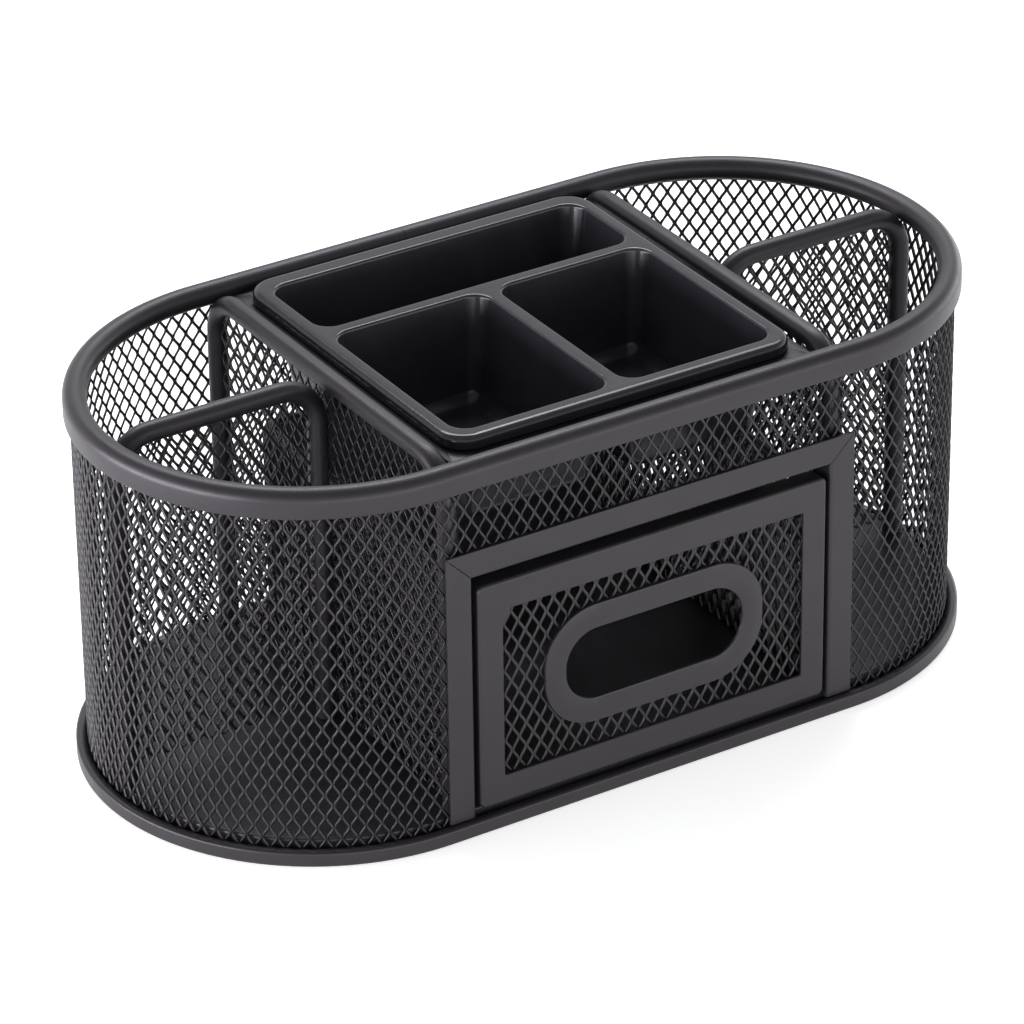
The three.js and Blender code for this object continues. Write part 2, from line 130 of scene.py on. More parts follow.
# One kind of expanded mesh: width and height of a diamond, each strand's share of the width of a bond,
# height of a bond, and thickness of the strands.
Weave = namedtuple("Weave", "pitch long_way bond bond_h thick")
WALL_WEAVE = Weave(4.52, 7.1, 0.44, 0.9, 0.62)
DRAWER_WEAVE = Weave(4.7, 7.5, 0.5, 1.2, 0.5)
SIDE_WEAVE = Weave(4.7, 7.5, 0.5, 1.2, 0.65)
STRAND_EASE = 0.3                   # 0 for straight strands, 1 for fully eased bends at the bonds
STRAND_STEPS = 5
STRAND_LAP = 0.03                   # how far a ribbon runs into its neighbours at their bonds
SHORT_STEP = 0.05                   # steps up a ribbon are never shorter than this
WALL_TILT = 34                      # slant of the strands, in degrees
CROSS_TILT = {"left": -32, "right": 32}
END_TILT = 32
DRAWER_TILT = -8
SIDE_TILT = 32

# Shading: edges are sharp above an angle in degrees, and faces larger than an area in square millimetres
# are flat. Swept and bent pieces have long narrow faces, and so a larger area.
SHARP, TRAY_SHARP = 38, 32
FLAT_AREA, BORDER_AREA, BROAD_AREA = 60, 3, 5000


# ---- meshes ------------------------------------------------------------------------------------

def piece(name, shell, material, body, nodes=(), sharp=SHARP, flat=FLAT_AREA):
    """Makes the object of one piece. shell is (points, faces) in millimetres.

    Faces of more than flat square millimetres are shaded as true flats, beside their rounded edges. With
    flat at 0, there are none.
    """
    points, faces = shell
    mesh = bpy.data.meshes.new(name)
    mesh.from_pydata([(x * MM, y * MM, z * MM) for x, y, z in points], [], faces)
    work = bmesh.new()
    work.from_mesh(mesh)
    bmesh.ops.recalc_face_normals(work, faces=work.faces)
    work.to_mesh(mesh)
    work.free()
    mesh.shade_smooth()
    mesh.set_sharp_from_angle(angle=math.radians(sharp))
    for face in mesh.polygons:
        face.use_smooth = not 0 < flat * MM * MM < face.area
    mesh.materials.append(material[0])
    thing = bpy.data.objects.new(name, mesh)
    bpy.context.scene.collection.objects.link(thing)
    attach(thing, body)
    if nodes:
        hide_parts(*nodes)
    return thing


def mesh_piece(name, shell, body, nodes=()):
    """A piece of expanded mesh: no edge is sharp and no face is flat, so its strands look like round bars."""
    return piece(name, shell, mesh_coat, body, nodes, sharp=180, flat=0)


def merge(*shells):
    """One shell of several."""
    points, faces = [], []
    for more_points, more_faces in shells:
        start = len(points)
        points += more_points
        faces += [[start + i for i in face] for face in more_faces]
    return points, faces


def skin(loops, wrap=False, caps=True):
    """Quads between loops of equal length. wrap joins the last loop to the first, caps closes the ends."""
    count = len(loops[0])
    points = [tuple(p) for loop in loops for p in loop]
    faces = []
    for i in range(len(loops) if wrap else len(loops) - 1):
        here, there = i * count, (i + 1) % len(loops) * count
        for j in range(count):
            k = (j + 1) % count
            faces.append([here + j, there + j, there + k, here + k])
    if caps and not wrap:
        last = (len(loops) - 1) * count
        faces.append(list(range(count)))
        faces.append([last + j for j in reversed(range(count))])
    return points, faces


def arc(cx, cy, radius, start, end, steps):
    """Points on an arc, angles in degrees."""
    turns = [math.radians(start + (end - start) * i / steps) for i in range(steps + 1)]
    return [(cx + radius * math.cos(a), cy + radius * math.sin(a)) for a in turns]


def quarter(steps):
    """Angles of a quarter turn, in radians."""
    return [math.radians(90 / steps * i) for i in range(steps + 1)]


def rounded(x0, x1, y0, y1, radius, steps=8):
    """Outline of a rectangle with round corners."""
    r = max(radius, LEAST_R)
    return (arc(x1 - r, y0 + r, r, -90, 0, steps) + arc(x1 - r, y1 - r, r, 0, 90, steps)
            + arc(x0 + r, y1 - r, r, 90, 180, steps) + arc(x0 + r, y0 + r, r, 180, 270, steps))


def fillet(points, radii, steps):
    """Rounds the corners of a closed outline, each by its own radius, over less than half of its sides."""
    out = []
    count = len(points)
    for i, (corner, r) in enumerate(zip(points, radii)):
        here = Vector(corner)
        before, after = Vector(points[i - 1]) - here, Vector(points[(i + 1) % count]) - here
        if r <= 0:
            out.append(tuple(here))
            continue
        half = before.angle(after) / 2
        reach = min(r / math.tan(half), MOST_OF_SIDE * before.length, MOST_OF_SIDE * after.length)
        start, end = here + before.normalized() * reach, here + after.normalized() * reach
        for j in range(steps + 1):
            t = j / steps
            out.append(tuple(start * (1 - t) ** 2 + here * 2 * t * (1 - t) + end * t ** 2))
    return out


def soft_sheet(low, high, cut):
    """(inset, height) of the loops through a sheet whose edges are rounded by cut."""
    return (cut, low), (0, low + cut), (0, high - cut), (cut, high)


def oval_place(s, radius):
    """Point at a radius, beside distance s along the mesh's oval from the middle of the front."""
    straight, bend = 2 * CORE_HALF, math.pi * WALL_MID
    s = (s + CORE_HALF) % (2 * straight + 2 * bend)
    if s < straight:
        x, y, nx, ny = s - CORE_HALF, 0, 0, -1
    elif s < straight + bend:
        a = (s - straight) / WALL_MID
        x, y, nx, ny = CORE_HALF, 0, math.sin(a), -math.cos(a)
    elif s < 2 * straight + bend:
        x, y, nx, ny = CORE_HALF - (s - straight - bend), 0, 0, 1
    else:
        a = (s - 2 * straight - bend) / WALL_MID
        x, y, nx, ny = -CORE_HALF, 0, -math.sin(a), math.cos(a)
    return x + nx * radius, y + ny * radius


def oval_stations(arc_steps=72, gap=0.0):
    """(centre x, normal x, normal y) round the oval. With a gap, it starts and ends at the back."""
    stations = []
    for side in (-1, 1):
        for i in range(arc_steps + 1):
            a = math.pi * (i / arc_steps)
            stations.append((side * CORE_HALF, side * math.sin(a), -side * math.cos(a)))
    if gap:
        stations = [(-gap / 2, 0, 1)] + stations + [(gap / 2, 0, 1)]
    return stations


def oval_sweep(section, gap=0.0):
    """Carries a closed section of (radius, z) points round the oval."""
    loops = [[(cx + r * nx, r * ny, z) for r, z in section] for cx, nx, ny in oval_stations(gap=gap)]
    return skin(loops, wrap=not gap)


def bent_bar(place, low, high, end, top, bend, radius, sides=20, bend_steps=12):
    """Round bar bent to a U. place(s, t, across) gives a point from the U's own plane."""
    path = [(low, end, math.pi)]
    for centre, start in ((low + bend, math.pi), (high - bend, math.pi / 2)):
        for i in range(bend_steps + 1):
            a = start - i / bend_steps * math.pi / 2
            path.append((centre + bend * math.cos(a), top - bend + bend * math.sin(a), a))
    path.append((high, end, 0))
    loops = []
    for s, t, a in path:
        loop = []
        for j in range(sides):
            turn = 2 * math.pi * j / sides
            out, across = radius * math.cos(turn), radius * math.sin(turn)
            loop.append(place(s + out * math.cos(a), t + out * math.sin(a), across))
        loops.append(loop)
    return skin(loops)


def expanded(place, columns, weave, spans, tilt, first=0):
    """Expanded metal: zigzag ribbons side by side, joined at their bonds.

    place(s, z, out) gives a point on the sheet's surface, columns counts the ribbons, spans(s) gives the
    (low, high) heights that the ribbon at s fills, and tilt is the slant of the strands in degrees: 0 for
    flattened mesh.
    """
    pitch, long_way, bond, bond_h, thick = weave
    half_s, half_z = pitch / 2, long_way / 2
    travel = half_s - bond
    reach = half_z - bond_h / 2

    def bent(height):
        """Share of a strand's sideways travel at a height above the bond it leaves, eased at both ends."""
        share = max(0.0, (height - bond_h / 2) / reach)
        return share - STRAND_EASE * math.sin(2 * math.pi * share) / (2 * math.pi)

    slant = math.tan(math.radians(tilt))
    thick_s = thick / 2 * math.sin(math.radians(tilt))
    thick_out = thick / 2 * math.cos(math.radians(tilt))
    steps = [half_z * i / STRAND_STEPS for i in range(STRAND_STEPS)]
    shells = []
    for column in range(first, first + columns):
        s0 = column * half_s
        level = (column % 2) * half_z
        for low, high in spans(s0 + half_s / 2):
            k0 = math.floor((low - level) / half_z) - 1
            k1 = math.ceil((high - level) / half_z) + 1
            heights = [level + k * half_z + step for k in range(k0, k1) for step in steps]
            heights = [low] + [z for z in heights if low + SHORT_STEP < z < high - SHORT_STEP] + [high]
            loops = []
            for z in heights:
                t = abs((z - level + half_z) % long_way - half_z)
                left = bent(t) * travel
                right = half_s - bent(half_z - t) * travel
                lift = slant * (right - left - bond) / 2
                out_left = slant * bond * left / travel + lift
                out_right = -slant * bond * (half_s - right) / travel - lift
                left, right = s0 + left - STRAND_LAP, s0 + right + STRAND_LAP
                loops.append([
                    place(left + thick_s, z, out_left + thick_out),
                    place(right + thick_s, z, out_right + thick_out),
                    place(right - thick_s, z, out_right - thick_out),
                    place(left - thick_s, z, out_left - thick_out),
                ])
            shells.append(skin(loops))
    return merge(*shells)


# ---- materials ---------------------------------------------------------------------------------

def add_node(tree, kind, inputs=None, **settings):
    """Makes a node. inputs gives a value, or a socket to link, for each of its inputs."""
    made = tree.nodes.new(kind)
    for key, value in settings.items():
        setattr(made, key, value)
    for key, value in (inputs or {}).items():
        if isinstance(value, bpy.types.NodeSocket):
            tree.links.new(value, made.inputs[key])
        else:
            made.inputs[key].default_value = value
    return made


def ramp(tree, factor, *stops):
    """Colour ramp with (position, colour) stops."""
    made = add_node(tree, "ShaderNodeValToRGB", {"Fac": factor})
    elements = made.color_ramp.elements
    while len(elements) < len(stops):
        elements.new(0.5)
    for element, (position, colour) in zip(elements, stops):
        element.position = position
        element.color = (*colour, 1) if isinstance(colour, tuple) else (colour, colour, colour, 1)
    return made.outputs["Color"]


def noise(tree, size, detail, rough=0.55):
    """Noise whose features are about size millimetres."""
    where = add_node(tree, "ShaderNodeTexCoord").outputs["Object"]
    return add_node(tree, "ShaderNodeTexNoise", {
        "Vector": where, "Scale": 1 / (size * MM), "Detail": detail, "Roughness": rough}).outputs["Fac"]


VIOLET = (1.0, 0.93, 1.0, 1)        # faint tint of the coat's sheen
BLUISH = (0.93, 0.95, 1.0, 1)       # and of the plastic's

# Sizes of the features, in millimetres, and the noise levels between which they fade in.
MOTTLE_SIZE, MOTTLE_FADE = 11, (0.35, 0.65)
SPECK_SIZE, SPECK_FADE = 0.8, (0.66, 0.8)
RUBBED_SIZE, RUBBED_FADE = 14, (0.6, 0.8)
GLOSS_SIZE, GLOSS_FADE = 6, (0.3, 0.7)
SWELL_SIZE = 4.5
FINE_STRENGTH, SWELL_STRENGTH = 0.6, 0.5
MIX_A, MIX_B, MIX_RESULT = 6, 7, 2  # a Mix node's colour sockets


def finish(name, slot, dark, light, worn, rough, grain, grain_depth, swell, wear_share, specular, tint):
    """A coated or moulded black surface.

    It has a mottled colour from dark to light, rubbed patches and specks of the worn colour, gloss that
    wanders over the rough range, a fine grain and a slow swell. Sizes and depths are in millimetres.
    """
    material = bpy.data.materials.new(name)
    material.use_nodes = True
    tree = material.node_tree
    shader = tree.nodes["Principled BSDF"]
    mottle = ramp(tree, noise(tree, MOTTLE_SIZE, 4), *zip(MOTTLE_FADE, (dark, light)))
    speck = ramp(tree, noise(tree, SPECK_SIZE, 2), *zip(SPECK_FADE, (0.0, 1.0)))
    rubbed = ramp(tree, noise(tree, RUBBED_SIZE, 5, 0.7), *zip(RUBBED_FADE, (0.0, 1.0)))
    patch = add_node(tree, "ShaderNodeMath", {0: rubbed, 1: wear_share}, operation="MULTIPLY")
    wear = add_node(tree, "ShaderNodeMath", {0: speck, 1: wear_share, 2: patch.outputs[0]},
                    operation="MULTIPLY_ADD")
    mix = tree.nodes.new("ShaderNodeMix")
    mix.data_type = "RGBA"
    tree.links.new(wear.outputs[0], mix.inputs["Factor"])
    tree.links.new(mottle, mix.inputs[MIX_A])
    mix.inputs[MIX_B].default_value = (*worn, 1)
    tree.links.new(mix.outputs[MIX_RESULT], shader.inputs["Base Color"])
    gloss = add_node(tree, "ShaderNodeMapRange", {
        "Value": noise(tree, GLOSS_SIZE, 5, 0.65), "From Min": GLOSS_FADE[0], "From Max": GLOSS_FADE[1],
        "To Min": rough[0], "To Max": rough[1]})
    tree.links.new(gloss.outputs["Result"], shader.inputs["Roughness"])
    fine = add_node(tree, "ShaderNodeBump", {
        "Height": noise(tree, grain, 2), "Strength": FINE_STRENGTH, "Distance": grain_depth * MM})
    broad = add_node(tree, "ShaderNodeBump", {
        "Height": noise(tree, SWELL_SIZE, 2), "Strength": SWELL_STRENGTH, "Distance": swell * MM,
        "Normal": fine.outputs["Normal"]})
    tree.links.new(broad.outputs["Normal"], shader.inputs["Normal"])
    shader.inputs["Specular IOR Level"].default_value = specular
    shader.inputs["Specular Tint"].default_value = tint
    return material, slot


coat = finish(
    "powder_coat", "powder_coated_steel", dark=(0.0120, 0.0108, 0.0127), light=(0.0140, 0.0126, 0.0148),
    worn=(0.085, 0.083, 0.088), rough=(0.38, 0.44), grain=0.45, grain_depth=0.03, swell=0.03,
    wear_share=0.08, specular=0.4, tint=VIOLET)
mesh_coat = finish(
    "mesh_coat", "coated_mesh", dark=(0.0065, 0.0059, 0.0068), light=(0.0090, 0.0082, 0.0095),
    worn=(0.11, 0.108, 0.115), rough=(0.34, 0.46), grain=0.5, grain_depth=0.05, swell=0.05,
    wear_share=0.12, specular=0.45, tint=VIOLET)
plastic = finish(
    "tray_plastic", "tray_plastic", dark=(0.0180, 0.0170, 0.0210), light=(0.0220, 0.0208, 0.0255),
    worn=(0.05, 0.05, 0.055), rough=(0.17, 0.21), grain=0.6, grain_depth=0.006, swell=0.012,
    wear_share=0.03, specular=0.45, tint=BLUISH)


# ---- pan, wall and rim -------------------------------------------------------------------------

pan_section = fillet([
    (STEP_R - SHEET, FLOOR_TOP - 3 * SHEET), (STEP_R - SHEET, TROUGH_TOP - SHEET),
    (BEAD_MID - BEAD_NECK, TROUGH_TOP - SHEET), (BEAD_MID - BEAD_MOUTH, BEAD_LIFT),
], [0, 0.5, 0.4, 0.1], 3) + [
    (min(r, pan.y1), max(z, 0.0)) for r, z in arc(BEAD_MID, BEAD_R, BEAD_R, -88, 128, 16)
] + fillet([
    (BEAD_MID - BEAD_NECK, TROUGH_TOP), (STEP_R, TROUGH_TOP), (STEP_R, FLOOR_TOP),
    (STEP_R - FLOOR_LAND, FLOOR_TOP), (STEP_R - FLOOR_LAND, FLOOR_TOP - SHEET),
    (STEP_R - SHEET, FLOOR_TOP - SHEET),
], [0.3, 0.5, 0.9, 0, 0, 0.3], 4)


def pan_shell():
    """Swept edge, closed by the flat floor that fills the oval inside it."""
    stations = oval_stations()
    split = pan_section.index(min(pan_section, key=lambda p: (p[0], -p[1])))
    order = pan_section[split + 1:] + pan_section[:split + 1]
    loops = [[(cx + r * nx, r * ny, z) for cx, nx, ny in stations] for r, z in order]
    return skin(loops)


piece("pan_pressed", pan_shell(), coat, "body", ["base_pan"], flat=BROAD_AREA)

perimeter = 4 * CORE_HALF + 2 * math.pi * WALL_MID
wall_columns = 2 * round(perimeter / WALL_WEAVE.pitch)
wall_weave = WALL_WEAVE._replace(pitch=2 * perimeter / wall_columns)
wall_top = rim.z0 + RIM_TUCK
cut_half, cut_top = OPEN_HALF + SHEET + CUT_CLEAR, OPEN_TOP + SHEET + CUT_CLEAR


def wall_spans(s):
    """From the pan to the rim, and above the drawer's opening at the front."""
    s = (s + perimeter / 2) % perimeter - perimeter / 2
    return [(cut_top if abs(s) < cut_half else wall.z0, wall_top)]


def wall_place(s, z, out):
    """Places on the wall, at distance s round the oval."""
    x, y = oval_place(s, WALL_MID + out)
    return x, y, z


half_count = wall_columns // 2
for label, first, nodes in (("right", 0, ["wall_mesh"]), ("left", half_count, [])):
    shell = expanded(wall_place, half_count, wall_weave, wall_spans, WALL_TILT, first=first)
    mesh_piece(f"wall_expanded_mesh_{label}", shell, "body", nodes)

rim_foot = rim.z0 + RIM_FOOT_LIFT
rim_section = fillet([(RIM_MID + RIM_FOOT_IN, rim_foot), (rim.y1, rim_foot), (rim.y1, HEIGHT - RIM_R)],
                     [0.3, 0.6, 0], 4)[:-1]
rim_section += arc(RIM_MID, HEIGHT - RIM_R, RIM_R, 0, RIM_CURL, 36)
rim_section += [(RIM_MID + RIM_END_IN, HEIGHT - 2 * RIM_R + RIM_END_LIFT)]
piece("rim_rolled_sheet", oval_sweep(rim_section, RIM_JOINT), coat, "body", ["top_rim"], flat=BROAD_AREA)


# ---- dividers ----------------------------------------------------------------------------------

LEAST_SPAN = 1                      # a divider's ribbon is never shorter than this


def panel_spans(low, high, bottom, top, corner):
    """Heights that a panel fills inside its bent bar, whose centre line it reaches."""
    def spans(s):
        edge = min(s - low, high - s)
        if edge < 0:
            return []
        drop = corner - math.sqrt(max(0.0, corner ** 2 - (corner - min(edge, corner)) ** 2))
        return [(bottom, top - drop)] if top - drop > bottom + LEAST_SPAN else []
    return spans


def divider(kind, label, place, low, high, first, columns, tilt):
    """A bent bar and its mesh. place(s, z, out) gives a point from the divider's own plane."""
    tube, sheet = Span(f"{kind}_tube_{label}"), Span(f"{kind}_mesh_{label}")
    top = tube.z1 - TUBE_R
    piece(f"{kind}_bar_{label}", bent_bar(place, low, high, tube.z0, top, TUBE_BEND, TUBE_R), coat, "body",
          [f"{kind}_tube_{label}"], flat=BROAD_AREA)
    spans = panel_spans(low, high, sheet.z0, top, TUBE_BEND)
    mesh_piece(f"{kind}_expanded_{label}", expanded(place, columns, WALL_WEAVE, spans, tilt, first), "body",
               [f"{kind}_mesh_{label}"])


def across_at(x):
    """Places in the plane of a divider that runs front to back."""
    return lambda s, z, out: (x + out, s, z)


def along(s, z, out):
    """Places in the plane of the dividers that run lengthwise."""
    return s, -out, z


for label in ("left", "right"):
    tube = Span(f"cross_divider_tube_{label}")
    low, high = tube.y0 + TUBE_R, tube.y1 - TUBE_R
    count = round(2 * (high - low) / WALL_WEAVE.pitch)
    divider("cross_divider", label, across_at((tube.x0 + tube.x1) / 2), low, high, -count // 2 - 1, count + 2,
            CROSS_TILT[label])

    tube = Span(f"end_divider_tube_{label}")
    low, high = tube.x0 + TUBE_R, tube.x1 - TUBE_R
    start = math.floor(2 * low / WALL_WEAVE.pitch)
    divider("end_divider", label, along, low, high, start, math.ceil(2 * high / WALL_WEAVE.pitch) - start,
            END_TILT)


# ---- drawer frame, stop and runners ------------------------------------------------------------

frame_front = rail.y0
strip_section = fillet([
    (STRIP_W, frame_front), (0, frame_front), (0, rail.y1), (SHEET, rail.y1),
    (SHEET, frame_front + SHEET), (STRIP_W, frame_front + SHEET),
], [CUT, FOLD_R, CUT, CUT, 0.4, CUT], 5)

rail_ends = [[(side * (OPEN_HALF + a - MITRE / 2), y, OPEN_TOP + a) for a, y in strip_section]
             for side in (-1, 1)]
piece("frame_top_rail", skin(rail_ends), coat, "body", ["drawer_frame_top_rail"])

return_low = jamb.z0 + RETURN_LIFT
for side, label in SIDES:
    upper = [(side * (OPEN_HALF + a), y, OPEN_TOP + a - MITRE / 2) for a, y in strip_section]
    lower = [(side * (OPEN_HALF + a), y, jamb.z0 if y < frame_front + 2 * SHEET else return_low)
             for a, y in strip_section]
    piece(f"frame_jamb_{label}", skin([lower, upper]), coat, "body", [f"drawer_frame_jamb_{label}"])

tab = Span("drawer_stop_tab")
tab_hidden = tab.z1 + 3             # the outline's upper corners are round up here, and cut off
tab_cut = tab.z1 - 0.1
tab_loops = [
    [(x, y, min(z, tab_cut)) for x, z in rounded(tab.x0 + inset, tab.x1 - inset, tab.z0 + inset, tab_hidden,
                                                 TAB_CORNER, 4)]
    for inset, y in soft_sheet(tab.y1 - SHEET, tab.y1, THIN_CUT)]
tab_mid = tab.y1 - SHEET / 2
tab_fold = fillet([(tab.y0, tab.z1 - SHEET), (tab_mid, tab.z1 - SHEET), (tab_mid, tab.z1), (tab.y0, tab.z1)],
                  [CUT, 0, 0.3, CUT], 3)
tab_arm = skin([[(x, y, z) for y, z in tab_fold] for x in (tab.x0, tab.x1)])
piece("frame_stop_tab", merge(skin(tab_loops), tab_arm), coat, "body", ["drawer_stop_tab"])

for side, label in SIDES:
    strip = Span(f"drawer_runner_{label}")
    inner, outer = (strip.x0, strip.x1) if side > 0 else (strip.x1, strip.x0)
    stem = inner + side * SHEET
    section = fillet([(inner, strip.z0), (outer, strip.z0), (outer, strip.z0 + SHEET),
                      (stem, strip.z0 + SHEET), (stem, strip.z1), (inner, strip.z1)],
                     [SHEET, CUT, CUT, 0.3, CUT, CUT], 4)
    piece(f"pan_runner_{label}", skin([[(x, y, z) for x, z in section] for y in (strip.y0, strip.y1)]),
          coat, "body", [f"drawer_runner_{label}"])


# ---- drawer ------------------------------------------------------------------------------------

window = (front.x0 + BORDER_SIDE, front.x1 - BORDER_SIDE, front.z0 + BORDER_LOW, front.z1 - BORDER_HIGH)
face = front.y0


def outline_loop(inset, y):
    """The drawer front's outline, drawn in by inset."""
    corner = max(BORDER_CORNER - inset, LEAST_BORDER_CORNER)
    return [(x, y, z) for x, z in rounded(front.x0 + inset, front.x1 - inset, front.z0 + inset,
                                          front.z1 - inset, corner, 6)]


def bend_loop(radius, a):
    """The outline at turn a round the bend from the front's face into its side."""
    return outline_loop(EDGE_R - radius * math.sin(a), face + EDGE_R - radius * math.cos(a))


def window_loop(grow, y, steps=6):
    """The window's outline, let out by grow. Its upper left corner is closed by the web."""
    x0, x1, z0, z1 = window
    loop = rounded(x0 - grow, x1 + grow, z0 - grow, z1 + grow, WINDOW_CORNER + grow, steps)
    loop[2 * (steps + 1):3 * (steps + 1)] = [
        (x0 - grow + CORNER_FILL_W * (1 - i / steps), z1 + grow - CORNER_FILL_H * i / steps)
        for i in range(steps + 1)]
    return [(x, y, z) for x, z in loop]


border_loops = [window_loop(FACE_CUT, face), window_loop(0, face + FACE_CUT),
                window_loop(0, face + SHEET - FACE_CUT), window_loop(FACE_CUT, face + SHEET)]
border_loops += [bend_loop(EDGE_R - SHEET, a) for a in quarter(5)]
border_loops += [outline_loop(SHEET, front.y1 - FACE_CUT), outline_loop(SHEET - FACE_CUT, front.y1),
                 outline_loop(FACE_CUT, front.y1), outline_loop(0, front.y1 - FACE_CUT)]
border_loops += [bend_loop(EDGE_R, a) for a in reversed(quarter(8))]
piece("drawer_front_folded_border", skin(border_loops, wrap=True), coat, "drawer", ["drawer_front_border"],
      flat=BORDER_AREA)


def flat_place(s, z, out):
    """Places in the plane of the drawer front's mesh."""
    return s, (panel.y0 + panel.y1) / 2 - out, z


def window_spans(s):
    """The window's mesh, clear of the slot, with its edges behind the border and the pull ring."""
    x0, x1, z0, z1 = window
    if not x0 - BORDER_TUCK < s < x1 + BORDER_TUCK:
        return []
    low, high = z0 - BORDER_TUCK, z1 + BORDER_TUCK
    half = (SLOT_W + 2 * PULL_TUCK) / 2
    if abs(s) > half:
        return [(low, high)]
    corner = SLOT_CORNER + PULL_TUCK
    away = max(0.0, abs(s) - (half - corner))
    reach = (SLOT_H + 2 * PULL_TUCK) / 2 - corner + math.sqrt(corner ** 2 - away ** 2)
    return [(low, PULL_Z - reach), (PULL_Z + reach, high)]


front_count = math.ceil((window[1] + BORDER_TUCK) / (DRAWER_WEAVE.pitch / 2))
front_mesh = expanded(flat_place, 2 * front_count, DRAWER_WEAVE, window_spans, DRAWER_TILT,
                      first=-front_count)
mesh_piece("drawer_front_expanded", front_mesh, "drawer", ["drawer_front_mesh"])


def ring_loop(inset, y):
    """The pull ring's outline, drawn in by inset."""
    return [(x, y, z) for x, z in rounded(ring.x0 + inset, ring.x1 - inset, ring.z0 + inset, ring.z1 - inset,
                                          PULL_CORNER - inset, 16)]


def slot_loop(grow, y):
    """The finger slot's outline, let out by grow."""
    w, h = SLOT_W / 2 + grow, SLOT_H / 2 + grow
    return [(x, y, z) for x, z in rounded(-w, w, PULL_Z - h, PULL_Z + h, SLOT_CORNER + grow, 16)]


part_bevel = BEVEL * 0.3            # the point of a bevel's round at 45 degrees
ring_loops = [slot_loop(BEVEL, ring.y0), slot_loop(part_bevel, ring.y0 + part_bevel),
              slot_loop(0, ring.y0 + BEVEL), slot_loop(0, ring.y1), ring_loop(0, ring.y1),
              ring_loop(0, ring.y0 + BEVEL), ring_loop(part_bevel, ring.y0 + part_bevel),
              ring_loop(BEVEL, ring.y0)]
piece("drawer_pull_ring", skin(ring_loops, wrap=True), coat, "drawer", ["finger_pull_ring"])

floor = Span("drawer_floor")
floor_loops = [
    [(x, y, z) for x, y in rounded(floor.x0 + inset, floor.x1 - inset, floor.y0 + inset, floor.y1 - inset,
                                   FLOOR_CORNER, 4)]
    for inset, z in soft_sheet(floor.z0, floor.z1, CUT)]
piece("drawer_floor_sheet", skin(floor_loops), coat, "drawer", ["drawer_floor"])

wire_r = (wire.z1 - wire.z0) / 2
wire_mid = wire.z0 + wire_r


def upright_at(x, side):
    """Places in a drawer side's plane, counted towards the back on the right and the front on the left."""
    return lambda s, z, out: (x + side * out, side * s, z)


def side_spans_of(sheet, side):
    """From the drawer's floor to its edge wire, over the sheet's length."""
    return lambda s: [(sheet.z0, wire_mid)] if sheet.y0 < side * s < sheet.y1 else []


for side, label in SIDES:
    sheet = Span(f"drawer_side_mesh_{label}")
    start = math.floor(min(side * sheet.y0, side * sheet.y1) / (SIDE_WEAVE.pitch / 2))
    count = math.ceil((sheet.y1 - sheet.y0) / (SIDE_WEAVE.pitch / 2)) + 2
    side_mesh = expanded(upright_at((sheet.x0 + sheet.x1) / 2, side), count, SIDE_WEAVE,
                         side_spans_of(sheet, side), SIDE_TILT, first=start)
    mesh_piece(f"drawer_side_expanded_{label}", side_mesh, "drawer", [f"drawer_side_mesh_{label}"])

back_loops = [
    [(x, y, z) for x, z in rounded(back_wall.x0 + inset, back_wall.x1 - inset, back_wall.z0 + inset,
                                   wire_mid - inset, BACK_CORNER, 4)]
    for inset, y in soft_sheet(back_wall.y0, back_wall.y1, THIN_CUT)]
piece("drawer_back_sheet", skin(back_loops), coat, "drawer", ["drawer_back"])


def level_place(s, t, out):
    """Places in the level plane of the edge wire."""
    return s, t, wire_mid + out


edge_wire = bent_bar(level_place, wire.x0 + wire_r, wire.x1 - wire_r, wire.y0, wire.y1 - wire_r, WIRE_BEND,
                     wire_r, sides=14, bend_steps=8)
piece("drawer_rim_wire", edge_wire, coat, "drawer", ["drawer_edge_wire"], flat=BROAD_AREA)


# ---- tray and ledge ----------------------------------------------------------------------------

TRAY_CORNER, TRAY_WALL = 9, 1.8
TRAY_FLOOR = tray.z0 + TRAY_WALL
SKIRT_CLEAR = 0.3                   # between the skirt and the ledge under it
SKIRT_LOW = ledge.z1 + SKIRT_CLEAR
WELL_HALF, WELL_CORNER, WEB = 52.5, 6, 4.6              # WEB is the wall top between two wells
WELL_BACK, WELL_SPLIT, WELL_FRONT = 53.5, 20.2, -51.5
LEAST_WELL_CORNER = 1.2
LIP_R = 2.0                         # rounded outer edge of the lip
MOUTH_R = 0.9                       # rounded edge round each well
WELL_FILLET = 4.5
DRAFT = 5.1                         # how much a well narrows on each side, top to bottom
SKIRT_EDGE = 0.3                    # rounding of the skirt's lower edge
HOLE_CLEAR = 0.9                    # between the wells' walls and the edge of the ledge's hole
HOLE_CORNER = 8.4
HOLE_FOLD, HOLE_PART = 1.2, 0.35    # bend of the ledge down into its hole, and a point partly round it
HOLE_INNER_FOLD = 0.5               # the same bend on the sheet's lower side
LEDGE_CORNER = 1
wells = [
    (-WELL_HALF, WELL_HALF, WELL_SPLIT + WEB / 2, WELL_BACK),
    (-WELL_HALF, -WEB / 2, WELL_FRONT, WELL_SPLIT - WEB / 2),
    (WEB / 2, WELL_HALF, WELL_FRONT, WELL_SPLIT - WEB / 2),
]


def tray_loop(inset, z):
    """The tray's outline, drawn in by inset."""
    return [(x, y, z) for x, y in rounded(tray.x0 + inset, tray.x1 - inset, tray.y0 + inset, tray.y1 - inset,
                                          TRAY_CORNER - inset, 12)]


def well_loop(well, inset, z):
    """A well's outline, drawn in by inset."""
    x0, x1, y0, y1 = well
    return [(x, y, z) for x, y in rounded(x0 + inset, x1 - inset, y0 + inset, y1 - inset,
                                          max(WELL_CORNER - inset / 2, LEAST_WELL_CORNER), 10)]


